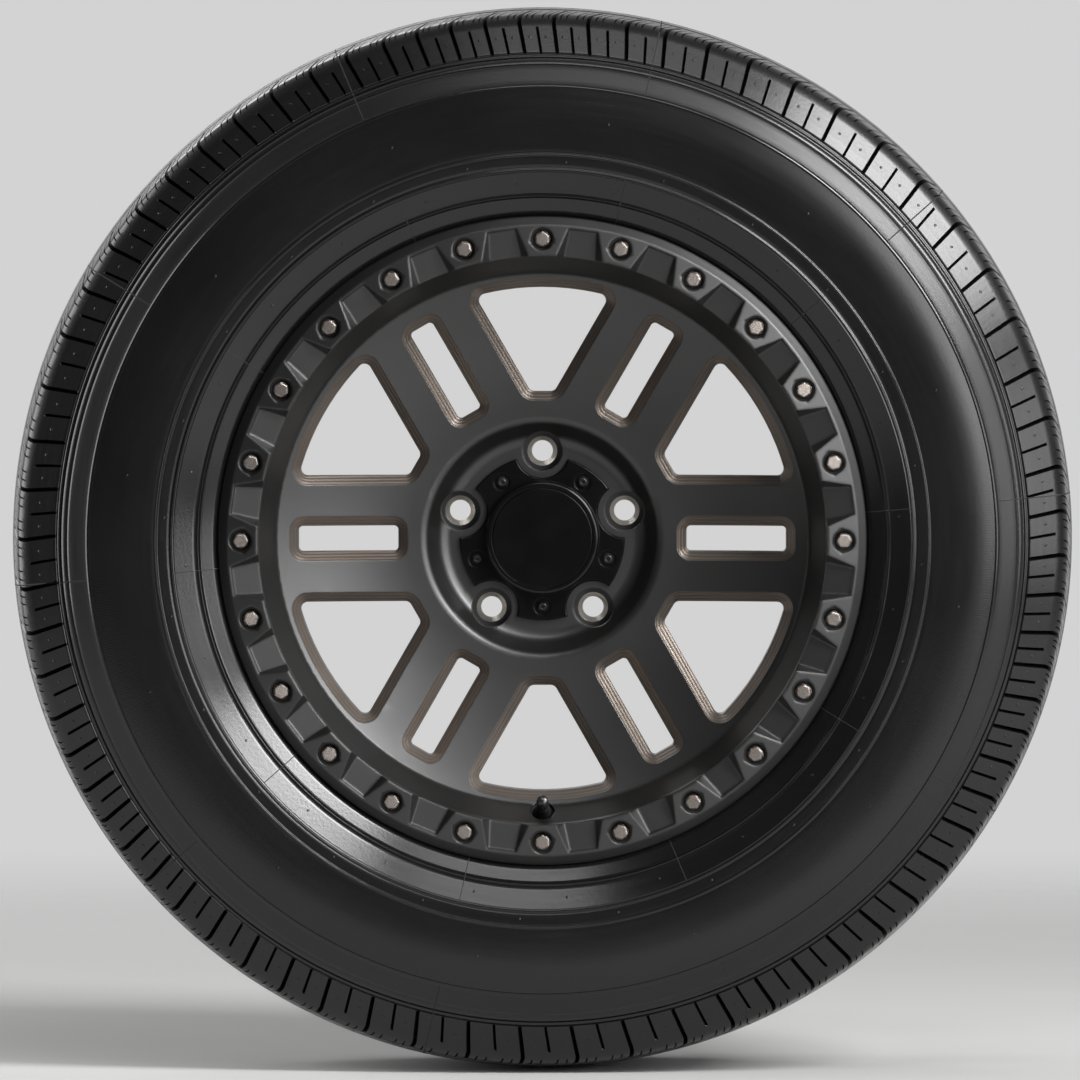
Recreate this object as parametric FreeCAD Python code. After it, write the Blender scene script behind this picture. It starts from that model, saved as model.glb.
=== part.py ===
import FreeCAD, Part
import math
import os

# Car wheel with tyre: 265/70 R 18 on an 18 x 8 cast wheel with a bolted outer ring.
# Millimetres. The wheel spins about Y, its street side looks to -Y, Z is up,
# and the origin is the wheel centre.

# Tyre size
SECTION_NOMINAL = 265.0
ASPECT = 0.70
SECTION_WIDTH = 272.0
TREAD_WIDTH = 206.0
TREAD_DEPTH = 8.0
CROWN_DROP = 7.0
SHOULDER_WIDTH = 6.0
SHOULDER_DROP = 4.5
PANEL_HEIGHT = 37.1
PANEL_FLARE = 0.57
WIDEST_HEIGHT = 93.3
CARCASS = 9.5
TREAD_BASE = 7.5
APEX_HEIGHT = 27.8
APEX_WIDTH = 1.5
RIM_COVER = 2.5
RIM_COVER_RISE = 4.0
BEAD_HEEL = 4.0
BEAD_TOE = 3.5
GROOVE_OFFSETS = (22.5, 62.0)
GROOVE_WIDTH = 9.0
GROOVE_DRAFT = 1.6
SLOT_WIDTH = 3.2
SLOT_DEPTH = 6.5
# Five tread pitch lengths and their order round the tyre, which keeps the tread quiet.
PITCH_LENGTHS = {"A": 3.77, "B": 4.29, "C": 4.84, "D": 5.45, "E": 6.0}
PITCH_RUNS = (
    "CDDEEEEEEDDCCBBAAAAAABBCCCCCCDDEEDDD"
    "CCCBBAABBCCCCDDEEEEEDCCCCCCCBBAAAABBC"
)
PITCH_START = 2.7

# Rim size
RIM_DIAMETER = 457.2
RIM_WIDTH = 203.2
FLANGE_HEIGHT = 17.3
FLANGE_ROUND = 8.0
SEAT_WIDTH = 18.6
SEAT_TAPER = 5.0
HUMP = 1.2
HUMP_WIDTH = 5.0
WELL_DEPTH = 23.6
WELL_WIDTH = 41.0
WELL_WALL_ANGLE = 22.0
LEDGE_RUN = 40.0
FLANGE_LIP = 3.6
FLANGE_EDGE = 1.6
WALL = 6.5
BEAD_GAP = 0.3

# Outer ring and its bolts
RING_OUTER_R = 250.5
RING_INNER_R = 219.7
RING_SEAT_Y = -114.0
RING_THICK = 14.0
RING_SLOPE = 12.0
RING_CHAMFER = 6.5
RING_CHAMFER_DEPTH = 5.3
EDGE_BREAK = 1.5
BOLT_COUNT = 24
BOLT_CIRCLE_R = 233.2
BOLT_RADIUS = 3.0
BOLT_ACROSS_FLATS = 10.8
BOLT_FLANGE_R = 7.4
BOLT_FLANGE = 1.8
BOLT_HEAD_HEIGHT = 5.6
BOLT_CROWN = 0.9
BOLT_BORE_R = 8.9
BOLT_BORE_BREAK = 0.8
BOLT_FLOOR = 4.5
BOLT_THREAD = 9.0
HOLE_GAP = 0.2
POCKET_OUTER_R = 242.2
POCKET_OUTER_HALF = 11.6
POCKET_INNER_HALF = 18.3
POCKET_OUTER_DEPTH = 2.4
POCKET_INNER_DEPTH = 10.6
POCKET_DRAFT = 30.0

# Face of the wheel
SPOKES = 6
LIP_R = 206.5
LIP_Y = -78.0
LIP_ROUND = 4.0
BAND_Y = -100.0
HUB_LIP_R = 95.0
HUB_LIP_Y = -50.0
HUB_LIP_ROUND = 8.0
BOWL_ANGLE = 58.0
BOWL_ROUND = 12.0
DISH_SAG = 5.4
DISC_THICK = 27.0
BARREL_BLEND = 6.0
WINDOW_OUTER_R = 195.8
WINDOW_INNER_R = 114.5
WINDOW_OFFSET = 49.1
WINDOW_CORNER = 5.5
SLIT_HALF = 9.9
SLIT_INNER_R = 112.3
SLIT_OUTER_R = 189.6
SLIT_CORNER = 3.5
BEVEL = 7.4
# How far a cutter runs past the face it opens.
OVERCUT = 30.0

# Hub
PAD_Y = -30.0
MOUNT_Y = 0.0
MOUNT_R = 81.0
RELIEF_INNER_R = 57.0
RELIEF_OUTER_R = 75.0
RELIEF_SWEEP = 34.0
RELIEF_DEPTH = 8.0
RELIEF_CORNER = 5.0
HUB_BORE_R = 43.55
LUGS = 5
LUG_CIRCLE_R = 67.5
LUG_HOLE_R = 8.2
LUG_SEAT_R = 11.6
LUG_BORE_R = 15.5
LUG_BORE_DEPTH = 14.0
LUG_SEAT_ANGLE = 30.0
LUG_START = 90.0

# Centre cap
CAP_FLANGE_R = 64.5
CAP_PLATE = 4.0
CAP_NOTCH_R = 20.8
CAP_DOME_R = 44.3
CAP_DOME_HEIGHT = 11.0
CAP_DISC_R = 39.0
CAP_DISC_THICK = 2.0
CAP_WALL = 3.0
SCREW_CIRCLE_R = 53.6
SCREW_HEAD_R = 4.75
SCREW_HEAD_HEIGHT = 2.4
SCREW_BORE_R = 6.8
SCREW_BORE_DEPTH = 1.6
SCREW_RADIUS = 2.5
SCREW_LENGTH = 12.0
FIT_GAP = 0.3

# Valve
VALVE_WEB = 4.0
VALVE_POCKET_R = 9.5
VALVE_HOLE_R = 5.75
VALVE_GAP = 0.25
VALVE_LENGTH = 32.0
VALVE_RUBBER = 20.0
VALVE_TAIL = 13.0
VALVE_BULB = 3.0
VALVE_COLLAR = 2.2
VALVE_CORE = 9.0
VALVE_CORE_STEP = 0.9
VALVE_THREAD_R = 3.85
VALVE_TUBE_R = 3.0
VALVE_BORE_R = 1.7
VALVE_PIN_R = 0.8
VALVE_CAP_R = 4.7
VALVE_PIN_TRAVEL = 1.5

# Worked out from the sizes above
RIM_R = RIM_DIAMETER / 2
HALF_RIM = RIM_WIDTH / 2
FLANGE_R = RIM_R + FLANGE_HEIGHT
TYRE_R = RIM_R + SECTION_NOMINAL * ASPECT
HALF_SECTION = SECTION_WIDTH / 2
HALF_TREAD = TREAD_WIDTH / 2
WELL_R = RIM_R - WELL_DEPTH
BARREL_R = WELL_R - WALL
RING_FACE_Y = RING_SEAT_Y - RING_THICK
BOLT_SEAT_Y = RING_SEAT_Y - BOLT_FLOOR
VALVE_BASE = VALVE_WEB + VALVE_GAP
RUBBER_TOP = VALVE_BASE + VALVE_RUBBER
TUBE_TOP = VALVE_BASE + VALVE_LENGTH

AXIS = FreeCAD.Vector(0, 1, 0)
ORIGIN = FreeCAD.Vector(0, 0, 0)


def spot(r, y):
    return FreeCAD.Vector(r, y, 0)


def section(corners):
    """Closed flat face. A corner is (r, y), or (r, y, rm, ym) when an arc through (rm, ym) leads to it."""
    edges = []
    last = corners[-1]
    for corner in corners:
        start = spot(last[0], last[1])
        end = spot(corner[0], corner[1])
        if len(corner) == 4:
            edges.append(Part.Arc(start, spot(corner[2], corner[3]), end).toShape())
        else:
            edges.append(Part.makeLine(start, end))
        last = corner
    return Part.Face(Part.Wire(edges))


def turned(corners):
    return section(corners).revolve(ORIGIN, AXIS, 360)


def rounded(before, corner, after, radius):
    """Two corners that round off a sharp one between straight runs."""
    to_before = (spot(*before) - spot(*corner)).normalize()
    to_after = (spot(*after) - spot(*corner)).normalize()
    half = to_before.getAngle(to_after) / 2
    middle = (to_before + to_after).normalize()
    reach = radius / math.tan(half)
    start = spot(*corner) + to_before * reach
    end = spot(*corner) + to_after * reach
    crest = spot(*corner) + middle * (radius / math.sin(half) - radius)
    return [(start.x, start.y), (end.x, end.y, crest.x, crest.y)]


def at_angle(shape, degrees):
    """Copy turned counter-clockwise as seen from the street side."""
    return shape.rotated(ORIGIN, -AXIS, degrees)


def round_array(shape, count, start=0.0):
    return [at_angle(shape, start + 360.0 * i / count) for i in range(count)]


def drill(r, radius, front, back, top_radius=None):
    """Round cutter along Y at radius r on the +X side; a cone when top_radius is given for its front end."""
    base = FreeCAD.Vector(r, front, 0)
    if top_radius is None:
        return Part.makeCylinder(radius, back - front, base, AXIS)
    return Part.makeCone(top_radius, radius, back - front, base, AXIS)


def save(node, solids):
    shape = solids[0] if len(solids) == 1 else Part.makeCompound(solids)
    shape.exportStep("parts/" + node + ".step")


def one_solid(shape):
    return shape.Solids[0]


def upright_edges(solid, low, high):
    """Edges of a cutter that run along Y and lie between two radii."""
    found = []
    for edge in solid.Edges:
        a = edge.Vertexes[0].Point
        b = edge.Vertexes[-1].Point
        runs_along = abs(a.x - b.x) + abs(a.z - b.z) < 1e-6 and abs(a.y - b.y) > 1.0
        if runs_along and low <= math.hypot(a.x, a.z) <= high:
            found.append(edge)
    return found


def seat_radius(y):
    """Radius of the tapered bead seat at distance y from the middle plane."""
    return RIM_R - (HALF_RIM - y) * math.tan(math.radians(SEAT_TAPER))


def build_tyre():
    edge_r = TYRE_R - CROWN_DROP
    edge_y = HALF_TREAD - SHOULDER_WIDTH
    shoulder_r = edge_r - SHOULDER_DROP
    block_r = TYRE_R - PANEL_HEIGHT
    block_y = HALF_TREAD + PANEL_FLARE * (shoulder_r - block_r)
    wide_r = RIM_R + WIDEST_HEIGHT
    rest_r = RING_OUTER_R + RIM_COVER
    rest_y = -RING_SEAT_Y + RIM_COVER_RISE
    behind_y = -RING_SEAT_Y - BEAD_GAP
    top_r = FLANGE_R + BEAD_GAP
    round_r = FLANGE_ROUND + BEAD_GAP
    core_r = FLANGE_R - FLANGE_ROUND
    core_y = HALF_RIM + FLANGE_ROUND
    slant = math.sqrt(0.5)
    heel_y = HALF_RIM - BEAD_HEEL
    toe_y = HALF_RIM - SEAT_WIDTH + 1.0
    wall_y = HALF_RIM - BEAD_GAP

    def belly(r, y):
        """Middle point of the arc that leaves the widest ring squarely and ends at (r, y)."""
        rise = HALF_SECTION - y
        bend = ((r - wide_r) ** 2 + rise ** 2) / (2 * rise)
        half = 0.5 * math.asin((r - wide_r) / bend)
        return wide_r + bend * math.sin(half), HALF_SECTION - bend + bend * math.cos(half)

    upper = belly(block_r, block_y)
    lower = belly(rest_r, rest_y)
    inside_r = TYRE_R - TREAD_DEPTH - TREAD_BASE
    side = [
        (edge_r, edge_y),
        (shoulder_r, HALF_TREAD),
        (block_r, block_y),
        (wide_r, HALF_SECTION, upper[0], upper[1]),
        (rest_r, rest_y, lower[0], lower[1]),
        (rest_r - 0.7 * RIM_COVER, behind_y),
        (top_r, behind_y),
        (top_r, core_y),
        (core_r, wall_y, core_r + round_r * slant, core_y - round_r * slant),
        (RIM_R + 0.75 * BEAD_HEEL, wall_y),
        (seat_radius(heel_y) + BEAD_GAP, heel_y),
        (seat_radius(toe_y) + BEAD_GAP, toe_y),
        (RIM_R + BEAD_HEEL, toe_y - BEAD_TOE),
        (RIM_R + APEX_HEIGHT, HALF_RIM + APEX_WIDTH),
        (block_r + 3.0, HALF_TREAD, wide_r, HALF_SECTION - CARCASS),
        (inside_r - 0.8 * CROWN_DROP, HALF_TREAD - 2.7 * SHOULDER_WIDTH),
    ]
    # The same points serve the other half: it is walked backwards, so an arc's middle moves one place.
    far = []
    for i in range(len(side) - 1, -1, -1):
        after = side[i + 1] if i + 1 < len(side) else None
        if after is not None and len(after) == 4:
            far.append((side[i][0], -side[i][1], after[2], -after[3]))
        else:
            far.append((side[i][0], -side[i][1]))
    far[0] = (far[0][0], far[0][1], inside_r, 0.0)
    near = list(side)
    near[0] = (edge_r, edge_y, TYRE_R, 0.0)
    face = section(near + far)

    grooves = []
    for offset in GROOVE_OFFSETS:
        for y in (offset, -offset):
            half = GROOVE_WIDTH / 2
            crown_r = TYRE_R - CROWN_DROP * (offset / edge_y) ** 2
            floor_r = crown_r - TREAD_DEPTH
            grooves.append(section([
                (floor_r, y - half + GROOVE_DRAFT),
                (crown_r + 2.0, y - half),
                (crown_r + 2.0, y + half),
                (floor_r, y + half - GROOVE_DRAFT),
            ]))
    tyre = face.cut(grooves).Faces[0].revolve(ORIGIN, AXIS, 360)

    # One open slot between every two tread blocks, down over the shoulder on both sides.
    slot_start = GROOVE_OFFSETS[-1] + GROOVE_WIDTH
    slots = []
    for mirror in (1, -1):
        outline = [
            (edge_r - SLOT_DEPTH + 1.0, mirror * slot_start),
            (edge_r - SLOT_DEPTH, mirror * (edge_y - 2.0)),
            (block_r - 1.0, mirror * (block_y - 0.6)),
            (block_r - 1.0, mirror * (HALF_SECTION - 3.0)),
            (TYRE_R + 5.0, mirror * (HALF_SECTION - 3.0)),
            (TYRE_R + 5.0, mirror * slot_start),
        ]
        slot = section(outline).extrude(FreeCAD.Vector(0, 0, SLOT_WIDTH))
        slot.translate(FreeCAD.Vector(0, 0, -SLOT_WIDTH / 2))
        total = sum(PITCH_LENGTHS[p] for p in PITCH_RUNS)
        angle = PITCH_START
        for pitch in PITCH_RUNS:
            slots.append(at_angle(slot, angle))
            angle += PITCH_LENGTHS[pitch] * 360.0 / total
    return one_solid(tyre.cut(slots))


def valve_frame():
    """Origin and direction of the valve: square to the front wall of the well, at its middle."""
    lean = math.radians(WELL_WALL_ANGLE)
    hump_y = -(HALF_RIM - SEAT_WIDTH - HUMP_WIDTH)
    top_r = seat_radius(-hump_y)
    middle_r = (top_r + WELL_R) / 2
    middle_y = hump_y + (top_r - middle_r) * math.tan(lean)
    origin = FreeCAD.Vector(0, middle_y, -middle_r)
    direction = FreeCAD.Vector(0, -math.cos(lean), math.sin(lean))
    return origin, direction


def in_valve_frame(shape):
    """Move a shape built round +Z to the valve, its +Z pointing out of the wheel."""
    origin, direction = valve_frame()
    turn = FreeCAD.Rotation(FreeCAD.Vector(0, 0, 1), direction)
    placed = shape.copy()
    placed.Placement = FreeCAD.Placement(origin, turn)
    return placed


def valve_turned(corners):
    """Turned piece of the valve from (radius, height) corners."""
    wire = Part.makePolygon([FreeCAD.Vector(r, 0, h) for r, h in corners + corners[:1]])
    solid = Part.Face(wire).revolve(ORIGIN, FreeCAD.Vector(0, 0, 1), 360)
    return in_valve_frame(solid)


def window_cutter():
    """Prism for the opening between two spoke pairs, centred on +X."""
    step = math.pi / SPOKES
    normal = (math.sin(step), math.cos(step))
    inner_half = (WINDOW_INNER_R * normal[0] - WINDOW_OFFSET) / normal[1]
    outer_angle = step - math.asin(WINDOW_OFFSET / WINDOW_OUTER_R)
    outer_x = WINDOW_OUTER_R * math.cos(outer_angle)
    outer_z = WINDOW_OUTER_R * math.sin(outer_angle)
    y = LIP_Y - OVERCUT
    a = FreeCAD.Vector(WINDOW_INNER_R, y, -inner_half)
    b = FreeCAD.Vector(WINDOW_INNER_R, y, inner_half)
    c = FreeCAD.Vector(outer_x, y, outer_z)
    d = FreeCAD.Vector(outer_x, y, -outer_z)
    top = FreeCAD.Vector(WINDOW_OUTER_R, y, 0)
    edges = [Part.makeLine(a, b), Part.makeLine(b, c), Part.Arc(c, top, d).toShape(), Part.makeLine(d, a)]
    prism = Part.Face(Part.Wire(edges)).extrude(AXIS * (MOUNT_Y - y))
    return prism.makeFillet(WINDOW_CORNER, upright_edges(prism, 0.0, TYRE_R))


def slit_cutter():
    """Prism for the slot along the middle of a spoke pair, centred on +X."""
    y = LIP_Y - OVERCUT
    corner = FreeCAD.Vector(SLIT_INNER_R, y, -SLIT_HALF)
    prism = Part.makeBox(SLIT_OUTER_R - SLIT_INNER_R, MOUNT_Y - y, 2 * SLIT_HALF, corner)
    return prism.makeFillet(SLIT_CORNER, upright_edges(prism, 0.0, TYRE_R))


def hub_bowl():
    """Corners from the pad to the rounded lip, where the wall of the bowl runs into the spoke face."""
    wall = math.radians(BOWL_ANGLE)
    fall = math.atan2(dish_height(HUB_LIP_R) - dish_height(HUB_LIP_R + 1.0), 1.0)

    def on_lip(turn):
        r = HUB_LIP_R + HUB_LIP_ROUND * (math.sin(fall) - math.sin(turn))
        y = HUB_LIP_Y + HUB_LIP_ROUND * (math.cos(fall) - math.cos(turn))
        return r, y

    top = on_lip(wall)
    foot = (top[0] - (PAD_Y - top[1]) / math.tan(wall), PAD_Y)
    lip = (HUB_LIP_R, HUB_LIP_Y) + on_lip((wall + fall) / 2)
    return rounded((HUB_BORE_R, PAD_Y), foot, top, BOWL_ROUND) + [top, lip]


def relief_cutter():
    """Lightening pocket in the mounting face between two lug holes, centred on +X."""
    floor = MOUNT_Y - RELIEF_DEPTH
    face = section([
        (RELIEF_INNER_R, floor),
        (RELIEF_OUTER_R, floor),
        (RELIEF_OUTER_R, MOUNT_Y + 1.0),
        (RELIEF_INNER_R, MOUNT_Y + 1.0),
    ])
    pocket = at_angle(face.revolve(ORIGIN, -AXIS, RELIEF_SWEEP), -RELIEF_SWEEP / 2)
    return pocket.makeFillet(RELIEF_CORNER, upright_edges(pocket, 0.0, MOUNT_R))


def build_wheel():
    lean = math.radians(WELL_WALL_ANGLE)
    slant = math.sqrt(0.5)
    core_r = FLANGE_R - FLANGE_ROUND
    core_y = HALF_RIM + FLANGE_ROUND
    round_r = core_r + FLANGE_ROUND * slant
    round_y = core_y - FLANGE_ROUND * slant
    seat_y = HALF_RIM - SEAT_WIDTH
    hump_y = seat_y - HUMP_WIDTH
    seat_r = seat_radius(seat_y)
    hump_r = seat_radius(hump_y)
    well_front = -hump_y + (hump_r - WELL_R) * math.tan(lean)
    well_back = well_front + WELL_WIDTH
    ledge_r = (WELL_R + hump_r) / 2 + 1.5
    ledge_y = well_back + LEDGE_RUN
    back_y = LIP_Y + DISC_THICK + 4.0
    hub_back_y = HUB_LIP_Y + DISC_THICK
    dish_r = (LIP_R + HUB_LIP_R) / 2
    dish_y = (LIP_Y + HUB_LIP_Y) / 2 + DISH_SAG
    near_lip = (LIP_R - 1.0, dish_height(LIP_R - 1.0))
    outer_lip = rounded(near_lip, (LIP_R, LIP_Y), (RING_INNER_R, BAND_Y), LIP_ROUND)
    outline = [
        (FLANGE_R, RING_SEAT_Y),
        (FLANGE_R, -core_y),
        (core_r, -HALF_RIM, round_r, -round_y),
        (RIM_R, -HALF_RIM),
        (seat_r, -seat_y),
        (seat_r + HUMP, -seat_y + HUMP_WIDTH / 2),
        (hump_r, -hump_y),
        (WELL_R, well_front),
        (WELL_R, well_back),
        (ledge_r, ledge_y),
        (hump_r, hump_y),
        (seat_r + HUMP, seat_y - HUMP_WIDTH / 2),
        (seat_r, seat_y),
        (RIM_R, HALF_RIM),
        (core_r, HALF_RIM),
        (FLANGE_R, core_y, round_r, round_y),
        (FLANGE_R, core_y + FLANGE_LIP - FLANGE_EDGE),
        (FLANGE_R - FLANGE_EDGE, core_y + FLANGE_LIP),
        (core_r, core_y + FLANGE_LIP),
        (RIM_R - WALL - 1.0, HALF_RIM + 1.0),
        (hump_r - WALL - 1.0, hump_y),
        (ledge_r - WALL, ledge_y),
        (BARREL_R, well_back),
        (BARREL_R, back_y + BARREL_BLEND),
        (BARREL_R - BARREL_BLEND, back_y),
        (HUB_LIP_R, hub_back_y, dish_r, dish_y + DISC_THICK + 2.0),
        (MOUNT_R, MOUNT_Y),
        (HUB_BORE_R, MOUNT_Y),
        (HUB_BORE_R, PAD_Y),
    ]
    outline += hub_bowl()
    outline += [
        (outer_lip[0][0], outer_lip[0][1], dish_r, dish_y),
        outer_lip[1],
        (RING_INNER_R, BAND_Y),
        (RING_INNER_R, RING_SEAT_Y),
    ]
    # The seam of the turned body is kept on a bare stretch of one spoke.
    wheel = at_angle(turned(outline), 10.5)

    openings = round_array(window_cutter(), SPOKES, 180.0 / SPOKES)
    openings += round_array(slit_cutter(), SPOKES)
    wheel = one_solid(wheel.cut(openings))

    # Machined bevel along every edge where an opening meets the street-side face.
    rims = []
    for edge in wheel.Edges:
        middle = edge.valueAt((edge.FirstParameter + edge.LastParameter) / 2)
        ends = [v.Point for v in edge.Vertexes]
        spots = ends + [middle]
        radii = [math.hypot(p.x, p.z) for p in spots]
        inside = all(HUB_LIP_R + 4.0 < r < LIP_R - 4.0 for r in radii)
        front = all(p.y < (LIP_Y + HUB_LIP_Y) / 2 + 1.5 * DISH_SAG + 12.0 for p in spots)
        on_face = all(abs(p.y - dish_height(r)) < 0.05 for p, r in zip(spots, radii))
        seam = abs(radii[0] - radii[-2]) > 60.0 and is_radial(ends)
        if inside and front and on_face and not seam:
            rims.append(edge)
    wheel = one_solid(wheel.makeChamfer(BEVEL, rims))

    seat_back = PAD_Y + LUG_BORE_DEPTH
    cone = (LUG_SEAT_R - LUG_HOLE_R) / math.tan(math.radians(LUG_SEAT_ANGLE))
    lug = drill(LUG_CIRCLE_R, LUG_BORE_R, PAD_Y - OVERCUT, seat_back)
    lug = lug.fuse(drill(LUG_CIRCLE_R, LUG_HOLE_R, seat_back, seat_back + cone, LUG_SEAT_R))
    lug = lug.fuse(drill(LUG_CIRCLE_R, LUG_HOLE_R, seat_back, MOUNT_Y + 5.0))
    cuts = round_array(lug, LUGS, LUG_START)

    screw = drill(SCREW_CIRCLE_R, SCREW_RADIUS + HOLE_GAP, PAD_Y - 1.0, PAD_Y + SCREW_LENGTH)
    cuts += round_array(screw, LUGS, LUG_START + 180.0 / LUGS)
    cuts += round_array(relief_cutter(), LUGS, LUG_START + 180.0 / LUGS)

    bolt = drill(BOLT_CIRCLE_R, BOLT_RADIUS + HOLE_GAP, RING_SEAT_Y - 1.0, RING_SEAT_Y + BOLT_THREAD + 1.0)
    cuts += round_array(bolt, BOLT_COUNT)

    z = FreeCAD.Vector(0, 0, 1)
    pocket = Part.makeCylinder(VALVE_POCKET_R, 2 * OVERCUT, FreeCAD.Vector(0, 0, VALVE_WEB), z)
    hole = Part.makeCylinder(VALVE_HOLE_R, 2 * VALVE_WEB, FreeCAD.Vector(0, 0, -2.0), z)
    cuts += [in_valve_frame(pocket), in_valve_frame(hole)]
    return one_solid(wheel.cut(cuts))


def dish_height(r):
    """Height of the street-side face of the spokes at radius r, from the circle through its three points."""
    x1, y1 = HUB_LIP_R, HUB_LIP_Y
    x2, y2 = (LIP_R + HUB_LIP_R) / 2, (LIP_Y + HUB_LIP_Y) / 2 + DISH_SAG
    x3, y3 = LIP_R, LIP_Y
    d = 2 * (x1 * (y2 - y3) + x2 * (y3 - y1) + x3 * (y1 - y2))
    s1, s2, s3 = x1 ** 2 + y1 ** 2, x2 ** 2 + y2 ** 2, x3 ** 2 + y3 ** 2
    cx = (s1 * (y2 - y3) + s2 * (y3 - y1) + s3 * (y1 - y2)) / d
    cy = (s1 * (x3 - x2) + s2 * (x1 - x3) + s3 * (x2 - x1)) / d
    bend = math.hypot(x1 - cx, y1 - cy)
    rise = math.sqrt(bend ** 2 - (r - cx) ** 2)
    return cy + rise if y2 > cy else cy - rise


def is_radial(ends):
    first = math.atan2(ends[0].z, ends[0].x)
    last = math.atan2(ends[-1].z, ends[-1].x)
    return abs(first - last) < 1e-4


def land_y(r):
    """Height of the sloping front face of the ring at radius r."""
    return RING_FACE_Y + (r - RING_INNER_R) * math.tan(math.radians(RING_SLOPE))


def plane_through(a, b, c):
    normal = (b - a).cross(c - a)
    return normal, normal.dot(a)


def meeting_point(first, second, third):
    """Point where three planes, each a normal and its distance, cross."""
    n1, n2, n3 = first[0], second[0], third[0]
    total = n2.cross(n3) * first[1] + n3.cross(n1) * second[1] + n1.cross(n2) * third[1]
    return total / n1.dot(n2.cross(n3))


def mirrored(point):
    return FreeCAD.Vector(point.x, point.y, -point.z)


def pocket_cutter():
    """Scallop of the ring between two bolts: sloping floor, drafted walls, open to the inside."""
    draft = math.tan(math.radians(POCKET_DRAFT))
    z = FreeCAD.Vector(0, 0, 1)
    inner = spot(RING_INNER_R, land_y(RING_INNER_R))
    outer = spot(POCKET_OUTER_R, land_y(POCKET_OUTER_R))
    inner_edge = inner + z * POCKET_INNER_HALF
    outer_edge = outer + z * POCKET_OUTER_HALF
    low_inner = inner + AXIS * POCKET_INNER_DEPTH
    low_outer = outer + AXIS * POCKET_OUTER_DEPTH
    floor = plane_through(low_inner, low_outer, low_inner + z)
    wall = plane_through(inner_edge, outer_edge, inner_edge + FreeCAD.Vector(0, 1, -draft))
    end = plane_through(outer, outer + z, outer + FreeCAD.Vector(-draft, 1, 0))
    mouth = (FreeCAD.Vector(1, 0, 0), RING_INNER_R - 4.0)
    top = (AXIS, RING_FACE_Y - 1.0)
    low_in = meeting_point(floor, wall, mouth)
    low_out = meeting_point(floor, wall, end)
    high_in = meeting_point(top, wall, mouth)
    high_out = meeting_point(top, wall, end)
    quads = [
        (low_in, low_out, mirrored(low_out), mirrored(low_in)),
        (high_in, high_out, mirrored(high_out), mirrored(high_in)),
        (low_in, low_out, high_out, high_in),
        (mirrored(low_in), mirrored(low_out), mirrored(high_out), mirrored(high_in)),
        (low_in, high_in, mirrored(high_in), mirrored(low_in)),
        (low_out, high_out, mirrored(high_out), mirrored(low_out)),
    ]
    faces = [Part.Face(Part.makePolygon(list(q) + [q[0]])) for q in quads]
    return Part.makeSolid(Part.makeShell(faces))


def build_ring():
    """Ring with a sloping front; its bolts sit in flat counterbores and scallops lie between them."""
    shoulder_r = RING_OUTER_R - RING_CHAMFER
    ring = turned([
        (RING_INNER_R, RING_SEAT_Y),
        (RING_INNER_R, RING_FACE_Y + EDGE_BREAK),
        (RING_INNER_R + EDGE_BREAK, land_y(RING_INNER_R + EDGE_BREAK)),
        (shoulder_r, land_y(shoulder_r)),
        (RING_OUTER_R, land_y(shoulder_r) + RING_CHAMFER_DEPTH),
        (RING_OUTER_R, RING_SEAT_Y),
    ])
    ring = at_angle(ring, 3.0)
    rim_y = land_y(BOLT_CIRCLE_R - BOLT_BORE_R)
    bolt = drill(BOLT_CIRCLE_R, BOLT_BORE_R, rim_y - 1.0, BOLT_SEAT_Y)
    bolt = bolt.fuse(drill(BOLT_CIRCLE_R, BOLT_RADIUS + HOLE_GAP, BOLT_SEAT_Y, RING_SEAT_Y + 1.0))
    lean = FreeCAD.Vector(-math.sin(math.radians(RING_SLOPE)), -math.cos(math.radians(RING_SLOPE)), 0)
    on_land = spot(BOLT_CIRCLE_R, land_y(BOLT_CIRCLE_R))
    edge = Part.makeCone(BOLT_BORE_R, BOLT_BORE_R + 2 * BOLT_BORE_BREAK, 2 * BOLT_BORE_BREAK,
                         on_land - lean * BOLT_BORE_BREAK, lean)
    cuts = round_array(bolt.fuse(edge), BOLT_COUNT)
    cuts += round_array(pocket_cutter(), BOLT_COUNT, 180.0 / BOLT_COUNT)
    return one_solid(ring.cut(cuts))


def build_bolts():
    """Hexagon bolts with a sloped flange under the head; the top of the head is chamfered."""
    flange_top = BOLT_SEAT_Y - BOLT_FLANGE
    corner = BOLT_ACROSS_FLATS / math.sqrt(3)
    base = FreeCAD.Vector(BOLT_CIRCLE_R, BOLT_SEAT_Y, 0)
    flange = Part.makeCone(BOLT_FLANGE_R, corner - 0.2, BOLT_FLANGE, base, -AXIS)
    shank = Part.makeCylinder(BOLT_RADIUS, RING_SEAT_Y + BOLT_THREAD - BOLT_SEAT_Y, base, AXIS)

    def hexagon(radius, y):
        spots = []
        for i in range(7):
            turn = math.radians(60 * i)
            spots.append(FreeCAD.Vector(BOLT_CIRCLE_R + radius * math.cos(turn), y, radius * math.sin(turn)))
        return Part.makePolygon(spots)

    top = BOLT_SEAT_Y - BOLT_HEAD_HEIGHT
    low = Part.makeLoft([hexagon(corner, flange_top + 0.8), hexagon(corner, top + BOLT_CROWN)], True, True)
    crown = Part.makeLoft([hexagon(corner, top + BOLT_CROWN), hexagon(corner - BOLT_CROWN, top)], True, True)
    bolt = one_solid(flange.fuse([shank, low, crown]).removeSplitter())
    return round_array(bolt, BOLT_COUNT)


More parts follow.
